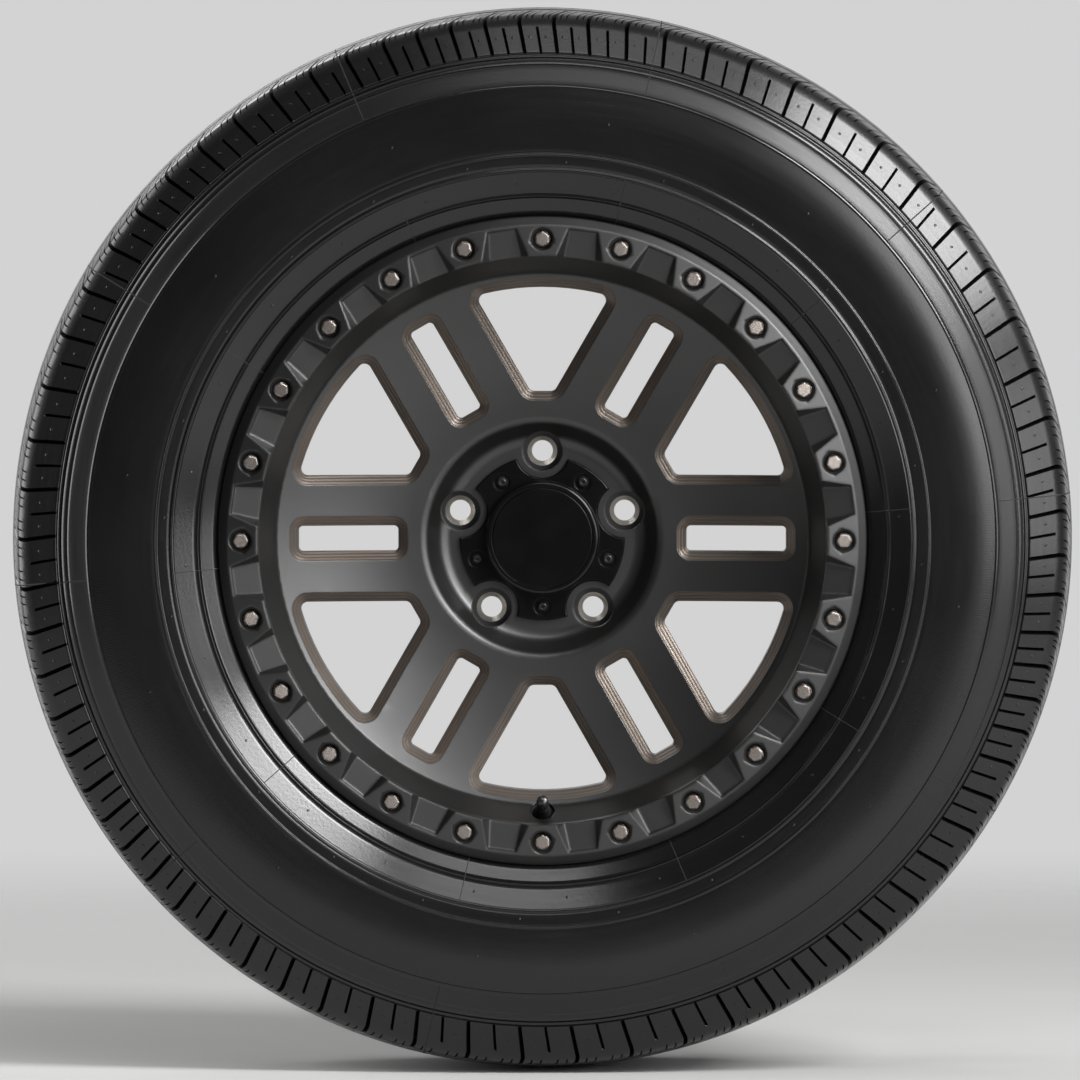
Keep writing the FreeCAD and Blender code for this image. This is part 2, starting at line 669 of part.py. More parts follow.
def build_cap():
    """Plate between the lug holes with a hollow dome in its middle and a shallow seat for the disc."""
    front = PAD_Y - CAP_PLATE
    top = front - CAP_DOME_HEIGHT
    edge = CAP_DOME_R - CAP_DISC_R
    cap = turned([
        (0.0, top + CAP_DISC_THICK),
        (CAP_DISC_R + FIT_GAP, top + CAP_DISC_THICK),
        (CAP_DISC_R + FIT_GAP, top),
        (CAP_DOME_R - 0.55 * edge, top),
        (CAP_DOME_R, top + 2.8, CAP_DOME_R - 0.15 * edge, top + 0.9),
        (CAP_DOME_R, front),
        (CAP_FLANGE_R - 0.8, front),
        (CAP_FLANGE_R, front + 0.8),
        (CAP_FLANGE_R, PAD_Y),
        (CAP_DOME_R - CAP_WALL, PAD_Y),
        (CAP_DOME_R - CAP_WALL, top + CAP_DISC_THICK + CAP_WALL),
        (0.0, top + CAP_DISC_THICK + CAP_WALL),
    ])
    cap = at_angle(cap, LUG_START + 0.25 * 360.0 / LUGS)
    notch = drill(LUG_CIRCLE_R, CAP_NOTCH_R, front - 1.0, PAD_Y + 1.0)
    notch = notch.fuse(drill(LUG_CIRCLE_R, CAP_NOTCH_R, front - 0.2, front + 1.0, CAP_NOTCH_R + 1.2))
    hole = drill(SCREW_CIRCLE_R, SCREW_BORE_R, front - 1.0, front + SCREW_BORE_DEPTH)
    hole = hole.fuse(drill(SCREW_CIRCLE_R, SCREW_RADIUS + HOLE_GAP, front, PAD_Y + 1.0))
    # The dome stands over the inner edge of the screw recesses and is kept whole.
    dome = turned([(0.0, top - 5.0), (CAP_DOME_R, top - 5.0), (CAP_DOME_R, PAD_Y + 2.0), (0.0, PAD_Y + 2.0)])
    cuts = round_array(notch, LUGS, LUG_START)
    cuts += round_array(hole, LUGS, LUG_START + 180.0 / LUGS)
    cuts = [cut.cut(dome) for cut in cuts]
    return one_solid(cap.cut(cuts))


def build_cap_disc():
    top = PAD_Y - CAP_PLATE - CAP_DOME_HEIGHT
    return turned([
        (0.0, top + CAP_DISC_THICK),
        (CAP_DISC_R, top + CAP_DISC_THICK),
        (CAP_DISC_R, top + 0.5),
        (CAP_DISC_R - 0.5, top),
        (0.0, top),
    ])


def build_cap_screws():
    """Button-head screws with a hexagon socket."""
    seat = PAD_Y - CAP_PLATE + SCREW_BORE_DEPTH
    top = seat - SCREW_HEAD_HEIGHT
    base = FreeCAD.Vector(SCREW_CIRCLE_R, seat, 0)
    head = Part.makeCone(SCREW_HEAD_R, 0.6 * SCREW_HEAD_R, SCREW_HEAD_HEIGHT, base, -AXIS)
    end = PAD_Y + SCREW_LENGTH - 1.0
    shank = Part.makeCylinder(SCREW_RADIUS, end - seat, base, AXIS)
    spots = []
    for i in range(7):
        turn = math.radians(60 * i)
        reach = 0.36 * SCREW_HEAD_R
        across = FreeCAD.Vector(reach * math.cos(turn), top - 0.5, reach * math.sin(turn))
        spots.append(across + FreeCAD.Vector(SCREW_CIRCLE_R, 0, 0))
    socket = Part.Face(Part.makePolygon(spots)).extrude(AXIS * 2.2)
    screw = one_solid(head.fuse(shank).cut(socket))
    return round_array(screw, LUGS, LUG_START + 180.0 / LUGS)


def build_valve_stem():
    """Moulded rubber body that snaps into the rim hole."""
    neck = VALVE_HOLE_R - VALVE_GAP
    return valve_turned([
        (VALVE_TUBE_R, -VALVE_TAIL),
        (neck, -VALVE_TAIL),
        (VALVE_HOLE_R + VALVE_BULB, -0.3 * VALVE_TAIL),
        (VALVE_HOLE_R + VALVE_BULB, -VALVE_GAP),
        (neck, -VALVE_GAP),
        (neck, VALVE_BASE),
        (VALVE_HOLE_R + VALVE_COLLAR, VALVE_BASE),
        (VALVE_HOLE_R + VALVE_COLLAR, VALVE_BASE + VALVE_COLLAR),
        (VALVE_HOLE_R, VALVE_BASE + 3 * VALVE_COLLAR),
        (VALVE_THREAD_R + 1.0, RUBBER_TOP),
        (VALVE_TUBE_R, RUBBER_TOP),
    ])


def build_valve_tube():
    """Brass tube moulded into the rubber; its bore is stepped to stop the core."""
    return valve_turned([
        (VALVE_BORE_R, 1.0 - VALVE_TAIL),
        (VALVE_TUBE_R, 1.0 - VALVE_TAIL),
        (VALVE_TUBE_R, RUBBER_TOP),
        (VALVE_THREAD_R, RUBBER_TOP),
        (VALVE_THREAD_R, TUBE_TOP - 0.6),
        (VALVE_THREAD_R - 0.6, TUBE_TOP),
        (VALVE_BORE_R + VALVE_CORE_STEP, TUBE_TOP),
        (VALVE_BORE_R + VALVE_CORE_STEP, TUBE_TOP - VALVE_CORE),
        (VALVE_BORE_R, TUBE_TOP - VALVE_CORE),
    ])


def build_valve_core():
    """Threaded sleeve the pin slides in, seated on the step of the tube."""
    outer = VALVE_BORE_R + VALVE_CORE_STEP - FIT_GAP / 2
    inner = VALVE_PIN_R + FIT_GAP / 2
    return valve_turned([
        (inner, TUBE_TOP - VALVE_CORE),
        (outer, TUBE_TOP - VALVE_CORE),
        (outer, TUBE_TOP - 2.5),
        (inner, TUBE_TOP - 2.5),
    ])


def build_valve_pin():
    """Pin with the sealing head below the core."""
    head_top = TUBE_TOP - VALVE_CORE - FIT_GAP / 2
    return valve_turned([
        (0.0, head_top - 3.0),
        (VALVE_BORE_R - FIT_GAP, head_top - 3.0),
        (VALVE_BORE_R - FIT_GAP, head_top),
        (VALVE_PIN_R, head_top),
        (VALVE_PIN_R, TUBE_TOP - 0.4),
        (0.0, TUBE_TOP - 0.4),
    ])


def build_valve_cap():
    """Screwed cap with a rounded end."""
    foot = RUBBER_TOP + FIT_GAP
    inside = TUBE_TOP + FIT_GAP
    bore = VALVE_THREAD_R + FIT_GAP / 2
    tip = inside + 3.2
    return valve_turned([
        (bore, foot),
        (VALVE_CAP_R - 0.4, foot),
        (VALVE_CAP_R, foot + 0.6),
        (VALVE_CAP_R, inside - 0.4),
        (0.92 * VALVE_CAP_R, inside + 1.2),
        (0.68 * VALVE_CAP_R, inside + 2.4),
        (0.36 * VALVE_CAP_R, tip - 0.2),
        (0.0, tip),
        (0.0, inside),
        (bore, inside),
    ])


os.makedirs("parts", exist_ok=True)
save("tyre", [build_tyre()])
save("wheel", [build_wheel()])
save("outer_ring", [build_ring()])
save("ring_bolts", build_bolts())
save("centre_cap", [build_cap()])
save("cap_disc", [build_cap_disc()])
save("cap_screws", build_cap_screws())
save("valve_stem", [build_valve_stem()])
save("valve_tube", [build_valve_tube()])
save("valve_core", [build_valve_core()])
save("valve_pin", [build_valve_pin()])
save("valve_cap", [build_valve_cap()])
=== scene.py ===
import math

import bpy
import numpy as np
from mathutils import Matrix, Vector


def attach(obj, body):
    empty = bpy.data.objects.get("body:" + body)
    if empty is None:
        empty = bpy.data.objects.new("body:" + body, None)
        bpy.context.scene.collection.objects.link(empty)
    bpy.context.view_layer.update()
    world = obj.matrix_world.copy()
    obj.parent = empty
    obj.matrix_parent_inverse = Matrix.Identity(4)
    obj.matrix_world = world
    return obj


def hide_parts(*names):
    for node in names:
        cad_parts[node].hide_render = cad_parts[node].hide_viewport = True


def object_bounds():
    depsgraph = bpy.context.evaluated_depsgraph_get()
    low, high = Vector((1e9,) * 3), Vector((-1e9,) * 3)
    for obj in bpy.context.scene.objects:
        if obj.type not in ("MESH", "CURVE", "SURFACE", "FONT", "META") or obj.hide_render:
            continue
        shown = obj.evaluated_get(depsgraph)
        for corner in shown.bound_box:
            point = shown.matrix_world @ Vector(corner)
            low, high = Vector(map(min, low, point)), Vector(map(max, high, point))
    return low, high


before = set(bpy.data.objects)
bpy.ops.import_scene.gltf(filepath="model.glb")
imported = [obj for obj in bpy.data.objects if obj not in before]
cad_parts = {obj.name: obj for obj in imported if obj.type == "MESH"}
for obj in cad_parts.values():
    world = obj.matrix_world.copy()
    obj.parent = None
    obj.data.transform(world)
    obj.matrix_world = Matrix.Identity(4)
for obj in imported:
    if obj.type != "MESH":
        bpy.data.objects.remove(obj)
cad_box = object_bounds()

MM = 0.001

# Tyre section in millimetres. A point is (radius, distance from the middle plane).
TYRE_R = 414.1
CROWN_DROP = 7.0
CROWN_EDGE = 97.0
GROOVES = (22.5, 62.0)
GROOVE_HALF = 4.5
TREAD_DEPTH = 8.0
BEAD_EDGE = (253.0, 116.5)
CONE_END = (284.6, 133.2)
WIDE_R = 324.0
HALF_SECTION = 136.0
FACE_EDGE = (350.6, 133.0)
SIDE_END_R = 368.5
SIDE_END_LIFT = -0.1
PANEL_EDGE = (376.9, 117.6)
SHOULDER_EDGE = (402.6, 103.0)
# Wall of a groove: distance past the groove's edge, and drop below the tread there.
GROOVE_WALL = ((0.7, 0.0), (0.0, 0.5), (-1.3, 6.6), (-2.0, 7.7))

# Pitches of the tread: lengths in degrees before they fill the turn, their order, and the first one's angle.
PITCH_LENGTHS = {"A": 3.77, "B": 4.29, "C": 4.84, "D": 5.45, "E": 6.0}
PITCH_RUNS = (
    "CDDEEEEEEDDCCBBAAAAAABBCCCCCCDDEEDDD"
    "CCCBBAABBCCCCDDEEEEEDCCCCCCCBBAAAABBC"
)
PITCH_START = 2.7


def new_object(name, data):
    """Object with this data, linked into the scene."""
    obj = bpy.data.objects.new(name, data)
    bpy.context.collection.objects.link(obj)
    return obj


def mesh_object(name, verts, faces):
    """Object with a mesh of these vertices, in metres, and faces."""
    mesh = bpy.data.meshes.new(name)
    mesh.from_pydata(verts, [], faces)
    mesh.validate()
    return new_object(name, mesh)


def grid_piece(name, radius, y, theta, mirrored=False):
    """Closed ring from rows round the section by columns round the wheel, in millimetres and degrees."""
    rows, cols = radius.shape
    turn = np.radians(theta)
    depth = -y if mirrored else y
    verts = np.stack([radius * np.cos(turn), depth, radius * np.sin(turn)], axis=-1).reshape(-1, 3) * MM
    i, j = np.meshgrid(np.arange(rows), np.arange(cols), indexing="ij")
    a = (i * cols + j).ravel()
    b = (((i + 1) % rows) * cols + j).ravel()
    c = (((i + 1) % rows) * cols + (j + 1) % cols).ravel()
    d = (i * cols + (j + 1) % cols).ravel()
    quads = np.stack([a, d, c, b] if mirrored else [a, b, c, d], axis=-1)
    obj = mesh_object(name, verts.tolist(), quads.tolist())
    obj.data.polygons.foreach_set("use_smooth", np.ones(len(obj.data.polygons), dtype=bool))
    return obj


def backed_piece(name, radius, depth, theta, angles, back, mirrored=False):
    """Grid piece whose section is closed by plain rows through the (radius, depth) points of its back."""
    ones = np.ones(len(angles))
    radius = np.vstack([radius] + [ones * point[0] for point in back])
    depth = np.vstack([depth] + [ones * point[1] for point in back])
    theta = np.vstack([theta] + [angles for _ in back])
    return grid_piece(name, radius, depth, theta, mirrored)


def section_normals(r, y):
    """Outward normals of a section walked from the street side towards the hub side."""
    dr = np.gradient(r)
    dy = np.gradient(y)
    length = np.hypot(dr, dy)
    return dy / length, -dr / length


def crown(y):
    """Radius of the tread at a distance from the middle plane."""
    return TYRE_R - CROWN_DROP * (y / CROWN_EDGE) ** 2


def straight(start, end, r):
    """Distance from the middle plane at radius r on the line through two points of the section."""
    return start[1] + (r - start[0]) / (end[0] - start[0]) * (end[1] - start[1])


def side_y(r):
    """Distance of the bare sidewall from the middle plane: a cone by the rim, two arcs, a cone."""
    if r < CONE_END[0]:
        return straight(BEAD_EDGE, CONE_END, r)
    if r > FACE_EDGE[0]:
        return straight(FACE_EDGE, PANEL_EDGE, r)
    end_r, end_y = FACE_EDGE if r >= WIDE_R else CONE_END
    rise = HALF_SECTION - end_y
    bend = ((end_r - WIDE_R) ** 2 + rise ** 2) / (2 * rise)
    return HALF_SECTION - bend + math.sqrt(bend ** 2 - (r - WIDE_R) ** 2)


def pitches():
    """Start angle and length of every tread pitch, counter-clockwise from the street side."""
    total = sum(PITCH_LENGTHS[p] for p in PITCH_RUNS)
    angle = PITCH_START
    found = []
    for p in PITCH_RUNS:
        length = PITCH_LENGTHS[p] * 360.0 / total
        found.append((angle, length))
        angle += length
    return found


def columns(features):
    """Angles and cut kinds of all columns. A feature is (share of the pitch, [(offset, kind), ...])."""
    angles = []
    kinds = []
    for start, length in pitches():
        for share, parts in features:
            for offset, kind in parts:
                angles.append(start + share * length + offset)
                kinds.append(kind)
    return np.array(angles), np.array(kinds)


NONE, MAIN, MIDDLE, SIPE = range(4)


def notch(kind, *halves):
    """Columns of a V-shaped cut: its lips at half widths in degrees, outermost first, and its bottom."""
    return [(-h, NONE) for h in halves] + [(0.0, kind)] + [(h, NONE) for h in reversed(halves)]


SIPE_HALF = 0.09
SHOULDER_CUTS = (
    (0.0, notch(MAIN, 0.3, 0.24)),
    (0.18, notch(SIPE, SIPE_HALF)),
    (0.35, notch(SIPE, SIPE_HALF)),
    (0.5, notch(MIDDLE, 0.22, 0.17)),
    (0.65, notch(SIPE, SIPE_HALF)),
    (0.82, notch(SIPE, SIPE_HALF)),
)

# Rows across the shoulder. The lines on the collar: radius and height.
COLLAR_ROWS = (
    (SIDE_END_R, SIDE_END_LIFT), (368.9, 0.0), (371.8, 0.0), (372.2, -0.35), (372.5, -1.3), (373.3, -1.3),
    (373.6, -0.35), (374.0, -0.1), (374.9, -0.1), (375.3, -0.35), (375.6, -1.4), (376.4, -1.4),
)
# The slanted face: radius, height, depth of the main slots and of the middle slots.
FACE_ROWS = (
    (PANEL_EDGE[0], -0.3, 0.0, 0.0), (377.4, 0.0, 3.4, 3.2), (378.4, 0.0, 3.8, 3.6), (381.0, 0.0, 4.4, 3.9),
    (385.0, 0.0, 4.8, 4.0), (389.0, 0.0, 5.2, 4.0), (393.0, 0.0, 5.5, 4.0), (396.8, 0.0, 5.7, 4.0),
    (397.6, 0.0, 5.7, 0.0), (399.2, 0.0, 5.9, 0.0),
)
# The rounded edge: radius, distance from the middle plane, depth of the main slots and of the sipes.
EDGE_ROWS = (
    (401.3, 103.4, 6.0, 0.0), (403.3, 101.9, 6.1, 0.0), (404.9, 100.2, 6.3, 1.2), (406.1, 98.4, 6.4, 2.6),
    (406.95, 96.4, 6.5, 3.4),
)
# The tops of the blocks: distance from the middle plane, depth of the main slots and of the sipes.
TOP_ROWS = (
    (93.5, 6.5, 3.6), (89.0, 6.5, 3.6), (84.0, 6.5, 3.6), (79.0, 6.5, 3.6), (75.5, 6.5, 3.4),
    (74.5, 6.5, 0.0), (71.2, 6.3, 0.0), (70.8, 0.0, 0.0),
)
# The slots lean one way over a span of radii on the face and sweep back over a width of the tread.
# The lean and the sweep are in degrees.
SLOT_LEAN = 0.55
LEAN_SPAN = (377.0, 402.0)
SLOT_SWEEP = 1.5
SWEEP_WIDTH = 33.0
# Where the shoulder and the sidewall meet inside the rubber, and the back of the shoulder.
INNER_JOINT = (368.6, -112.0)
SHOULDER_BACK = ((395.0, -64.0), (393.1, -87.0), (381.0, -103.0), INNER_JOINT)


def shoulder_rows():
    """Radius, distance from the middle plane, height, and depths of main slot, middle slot and sipe."""
    rows = [(r, side_y(r), lift, 0, 0, 0) for r, lift in COLLAR_ROWS]
    for r, lift, main, middle in FACE_ROWS:
        rows.append((r, straight(PANEL_EDGE, SHOULDER_EDGE, r), lift, main, middle, 0))
    rows += [(r, y, 0, main, 0, sipe) for r, y, main, sipe in EDGE_ROWS]
    rows += [(crown(y), y, 0, main, 0, sipe) for y, main, sipe in TOP_ROWS]
    edge = GROOVES[1] + GROOVE_HALF
    rows += [(crown(edge) - drop, edge + past, 0, 0, 0, 0) for past, drop in GROOVE_WALL]
    rows.append((crown(edge) - TREAD_DEPTH, GROOVES[1], 0, 0, 0, 0))
    return np.array(rows)


def build_shoulder(name, mirrored):
    """Shoulder blocks with their open slots, the short slots between them and the sipes on the tread."""
    r, out, lift, main, middle, sipe = shoulder_rows().T
    y = -out
    nr, ny = section_normals(r, y)
    low, high = LEAN_SPAN
    lean = np.where(
        out > SHOULDER_EDGE[1],
        SLOT_LEAN * (np.clip(r, low, high) - low) / (high - low),
        SLOT_LEAN - SLOT_SWEEP * (SHOULDER_EDGE[1] - out) / SWEEP_WIDTH,
    )
    angles, kinds = columns(SHOULDER_CUTS)
    height = np.repeat(lift[:, None], len(angles), axis=1)
    for kind, cut in ((MAIN, main), (MIDDLE, middle), (SIPE, sipe)):
        height = height - (kinds == kind)[None, :] * cut[:, None]
    radius = r[:, None] + nr[:, None] * height
    depth = y[:, None] + ny[:, None] * height
    theta = angles[None, :] + lean[:, None]
    return backed_piece(name, radius, depth, theta, angles, SHOULDER_BACK, mirrored)


# The middle ribs: bare margin beside the grooves and share of the pitch of their two sipes, rib by rib.
RIB_MARGINS = (2.5, 4.0, 2.5)
RIB_SIPES = ((0.0, 0.5), (0.25, 0.75), (0.0, 0.5))
RIB_ROWS = 8
RIB_SIPE_DEPTH = 4.0
# The sipes wave across the tread: degrees to either side, and millimetres for one radian of the wave.
SIPE_WAVE = 1.7
WAVE_REACH = 20.0
TREAD_BACK = ((397.0, 60.0), (398.4, 0.0), (397.0, -60.0))


def groove_wall(centre, side):
    """Rows of one groove wall, from its top down: radius, distance from the middle plane, and no rib."""
    edge = centre + side * GROOVE_HALF
    return [(crown(edge) - drop, edge + side * past, -1) for past, drop in GROOVE_WALL]


def rib_rows(number, left, right):
    """Rows across the rib between two grooves. All but the first and last are cut by the rib's sipes."""
    margin = GROOVE_HALF + RIB_MARGINS[number]
    rows = []
    for count, y in enumerate(np.linspace(left + margin, right - margin, RIB_ROWS)):
        cut = 0 < count < RIB_ROWS - 1
        rows.append((crown(y), y, number if cut else -1))
    return rows


def build_tread():
    """Three middle ribs with slanted sipes and the grooves between them."""
    grooves = (-GROOVES[1], -GROOVES[0], GROOVES[0], GROOVES[1])
    rows = []
    for number, groove in enumerate(grooves):
        if number > 0:
            rows += groove_wall(groove, -1)
        rows.append((crown(groove) - TREAD_DEPTH, groove, -1))
        if number < len(RIB_MARGINS):
            rows += groove_wall(groove, 1)[::-1]
            rows += rib_rows(number, groove, grooves[number + 1])
    r, y, rib = np.array(rows).T
    shares = sorted(set(share for pair in RIB_SIPES for share in pair))
    angles, kinds = columns([(share, notch(1 + shares.index(share), SIPE_HALF)) for share in shares])
    radius = np.repeat(r[:, None], len(angles), axis=1)
    for number, pair in enumerate(RIB_SIPES):
        here = np.isin(kinds, [1 + shares.index(share) for share in pair])
        radius = radius - RIB_SIPE_DEPTH * here[None, :] * (rib == number)[:, None]
    depth = np.repeat(y[:, None], len(angles), axis=1)
    theta = angles[None, :] + SIPE_WAVE * np.sin(y / WAVE_REACH)[:, None]
    return backed_piece("tyre_tread", radius, depth, theta, angles, TREAD_BACK)


# Raised lines of the sidewall: radius, half width, height, depth of the grooves beside it.
SIDE_RIBS = ((298.7, 1.15, 0.95, 0.1), (287.0, 1.2, 0.95, 0.3), (266.6, 1.1, 0.6, 0.3))
# Rows across such a line, in half widths.
RIB_STEPS = (-2.0, -1.5, -1.0, -0.75, -0.5, -0.25, 0.0, 0.25, 0.5, 0.75, 1.0, 1.5, 2.0)
# The step under the shoulder: foot and top of its steep flank, end of its flat, end of its fall; its height.
STEP_LINE = (349.9, 350.7, 351.9, 353.1)
STEP_HEIGHT = 0.42
# The dip of the sidewall below the collar: where it starts, where it is deepest, and its depth.
COLLAR_DIP = (366.4, 367.7, 0.5)
# Rows close to the corners of the step and the dip, and the row before the step.
ROW_GAP = 0.2
STEP_APPROACH = 0.6
# Even rows, how far they keep from a line, in half widths, and from the step, and columns round the wheel.
SIDE_SPAN = (256.0, 366.0)
SIDE_ROWS = 45
RIB_CLEAR = 2.2
STEP_CLEAR = 1.2
SIDE_COLUMNS = 480
# The inner face is an arc: its centre, its reach along both axes, its first and last angle, and its rows.
LINER_CENTRE = (322.0, -61.0)
LINER_REACH = (66.0, 65.5)
LINER_TURN = (33.6, -40.0)
LINER_ROWS = 9
# The bead, from the inner face round its toe and heel to the flange of the rim.
BEAD_LOOP = (
    (256.4, -103.1), (233.1, -80.5), (227.4, -84.0), (228.6, -97.6), (231.6, -101.3), (238.0, -101.3),
    (241.3, -102.0), (243.9, -103.75), (245.7, -106.5), (246.3, -109.6), (246.3, -113.7), (251.2, -113.7),
)


def side_height(r):
    """Height of the rounded ribs, the grooves beside them, the step and the dip above the bare sidewall."""
    total = STEP_HEIGHT * float(np.interp(r, STEP_LINE, (0.0, 1.0, 1.0, 0.0)))
    for centre, half, lift, groove in SIDE_RIBS:
        across = abs(r - centre) / half
        if across < 1.0:
            total += lift * math.cos(across * math.pi / 2) ** 2
        elif across < 2.0:
            total -= groove * math.sin((across - 1.0) * math.pi) ** 2
    dip, low, depth = COLLAR_DIP
    return total - depth * max(0.0, r - dip) / (low - dip)


def side_radii():
    """Radii of the sidewall's rows: close at the ribs, the step and the dip, and even between them."""
    foot, top, flat, end = STEP_LINE
    dip, low, _ = COLLAR_DIP
    radii = [centre + step * half for centre, half, _, _ in SIDE_RIBS for step in RIB_STEPS]
    radii += [foot - STEP_APPROACH, foot, foot + ROW_GAP]
    radii += [corner + side * ROW_GAP for corner in (top, flat, end) for side in (-1, 1)]
    radii += [dip + ROW_GAP, low - ROW_GAP, low]
    for r in np.linspace(*SIDE_SPAN, SIDE_ROWS):
        off_ribs = all(abs(r - centre) > RIB_CLEAR * half for centre, half, _, _ in SIDE_RIBS)
        if off_ribs and not foot - STEP_CLEAR < r < end + STEP_CLEAR:
            radii.append(float(r))
    return sorted(radii)


def build_side(name, mirrored):
    """Sidewall with its raised lines, the bead on the rim and the inner face."""
    radii = side_radii()
    r = np.array([BEAD_EDGE[0]] + radii + [SIDE_END_R])
    y = -np.array([side_y(v) for v in r])
    lift = np.array([0.0] + [side_height(v) for v in radii] + [SIDE_END_LIFT])
    nr, ny = section_normals(r, y)
    loop = list(zip(r + nr * lift, y + ny * lift))
    loop.append(INNER_JOINT)
    for turn in np.radians(np.linspace(*LINER_TURN, LINER_ROWS)):
        along = LINER_CENTRE[0] + LINER_REACH[0] * math.sin(turn)
        loop.append((along, LINER_CENTRE[1] - LINER_REACH[1] * math.cos(turn)))
    loop = np.array(loop + list(BEAD_LOOP))
    angles = np.arange(SIDE_COLUMNS) * 360.0 / SIDE_COLUMNS
    radius = np.repeat(loop[:, :1], SIDE_COLUMNS, axis=1)
    depth = np.repeat(loop[:, 1:], SIDE_COLUMNS, axis=1)
    theta = np.repeat(angles[None, :], len(loop), axis=0)
    return grid_piece(name, radius, depth, theta, mirrored)


# Vent marks on the sidewall: radius, how many, angle of the first.
SIDE_VENTS = ((276.2, 24, 4.0), (292.8, 24, 11.5), (325.0, 12, 21.0))
# Vent marks on the shoulder blocks: radius, shares of the pitch, and an offset in degrees.
BLOCK_VENT_R = 389.5
BLOCK_VENT_SHARES = (0.27, 0.76)
BLOCK_VENT_OFFSET = 0.3
# Rings of one mark, from its foot: radius and height.
VENT_RINGS = ((1.25, -0.2), (1.05, 0.35), (0.6, 0.55))
VENT_SIDES = 10
# The sidewall's slope at a mark is taken between points this far to either side.
SLOPE_HALF = 0.5


def vent_spots():
    """Radius, distance from the middle plane, slope of the surface and angle of every vent mark."""
    spots = []
    slope = math.atan2(PANEL_EDGE[1] - SHOULDER_EDGE[1], SHOULDER_EDGE[0] - PANEL_EDGE[0])
    out = straight(PANEL_EDGE, SHOULDER_EDGE, BLOCK_VENT_R)
    for start, length in pitches():
        for share in BLOCK_VENT_SHARES:
            spots.append((BLOCK_VENT_R, out, slope, start + share * length + BLOCK_VENT_OFFSET))
    for r, count, first in SIDE_VENTS:
        slope = math.atan2(side_y(r - SLOPE_HALF) - side_y(r + SLOPE_HALF), 2 * SLOPE_HALF)
        for k in range(count):
            spots.append((r, side_y(r), slope, first + 360.0 * k / count))
    return spots


def build_vents(name, mirrored):
    """Small round vent marks left by the mould, on every shoulder block and along the sidewall."""
    verts = []
    faces = []
    for spot_r, spot_y, slope, degrees in vent_spots():
        turn = math.radians(degrees)
        base = len(verts)
        for size, lift in VENT_RINGS:
            for k in range(VENT_SIDES):
                a = 2 * math.pi * k / VENT_SIDES
                along = size * math.cos(a)
                across = size * math.sin(a)
                r = spot_r + along * math.cos(slope) + lift * math.sin(slope)
                out = spot_y - along * math.sin(slope) + lift * math.cos(slope)
                x = r * math.cos(turn) - across * math.sin(turn)
                z = r * math.sin(turn) + across * math.cos(turn)
                verts.append((x * MM, (out if mirrored else -out) * MM, z * MM))
        rings = [[base + n * VENT_SIDES + k for k in range(VENT_SIDES)] for n in range(len(VENT_RINGS))]
        for low, high in zip(rings, rings[1:]):
            for k in range(VENT_SIDES):
                n = (k + 1) % VENT_SIDES
                faces.append((low[k], low[n], high[n], high[k]))
        faces.append(rings[-1])
        faces.append(rings[0][::-1])
    return mesh_object(name, verts, faces if mirrored else [face[::-1] for face in faces])


BEVEL_SAMPLES = 4


class Shader:
    """Small helper that builds one node material."""

    def __init__(self, name):
        self.material = bpy.data.materials.new(name)
        self.material.use_nodes = True
        self.nodes = self.material.node_tree.nodes
        self.links = self.material.node_tree.links
        self.main = self.nodes["Principled BSDF"]

    def feed(self, socket, value):
        """Link a socket to another one, or set its own value."""
        if isinstance(value, bpy.types.NodeSocket):
            self.links.new(value, socket)
        else:
            socket.default_value = value

    def node(self, kind, inputs=None, **settings):
        made = self.nodes.new(kind)
        for key, value in settings.items():
            setattr(made, key, value)
        for key, value in (inputs or {}).items():
            self.feed(made.inputs[key], value)
        return made

    def set(self, **values):
        for key, value in values.items():
            self.feed(self.main.inputs[key.replace("_", " ")], value)

    def place(self):
        return self.node("ShaderNodeTexCoord").outputs["Object"]

    def noise(self, scale, detail=3.0, vector=None):
        inputs = {"Scale": scale, "Detail": detail, "Vector": vector or self.place()}
        return self.node("ShaderNodeTexNoise", inputs).outputs["Fac"]

    def ramp(self, value, stops):
        made = self.node("ShaderNodeValToRGB", {"Fac": value})
        for element, (at, colour) in zip(made.color_ramp.elements, stops):
            element.position = at
            element.color = (*colour, 1.0)
        return made.outputs["Color"]

    def mottle(self, value, colour, share, start=0.3):
        """Colour that a value moves between a share of it and the whole."""
        darker = tuple(share * part for part in colour)
        return self.ramp(value, ((start, darker), (0.7, colour)))

    def span(self, value, low, high):
        inputs = {"Value": value, "To Min": low, "To Max": high}
        return self.node("ShaderNodeMapRange", inputs).outputs["Result"]

    def math(self, operation, *values):
        made = self.node("ShaderNodeMath", operation=operation)
        for socket, value in zip(made.inputs, values):
            self.feed(socket, value)
        return made.outputs[0]

    def within(self, value, low, high):
        """1 between two limits and 0 outside them."""
        above = self.math("GREATER_THAN", value, low)
        return self.math("MULTIPLY", above, self.math("LESS_THAN", value, high))

    def bump(self, height, strength, distance, normal=None):
        inputs = {"Strength": strength, "Distance": distance, "Height": height}
        if normal is not None:
            inputs["Normal"] = normal
        return self.node("ShaderNodeBump", inputs).outputs["Normal"]

    def reach(self, a, b):
        """Length of two legs at a right angle."""
        return self.math("SQRT", self.math("ADD", self.math("MULTIPLY", a, a), self.math("MULTIPLY", b, b)))

    def polar(self):
        """Radius from the wheel axis, angle round it, and depth along it."""
        x, y, z = self.node("ShaderNodeSeparateXYZ", {"Vector": self.place()}).outputs
        return self.reach(x, z), self.math("ARCTAN2", z, x), y

    def soft_edge(self, radius):
        return self.node("ShaderNodeBevel", {"Radius": radius}, samples=BEVEL_SAMPLES).outputs["Normal"]


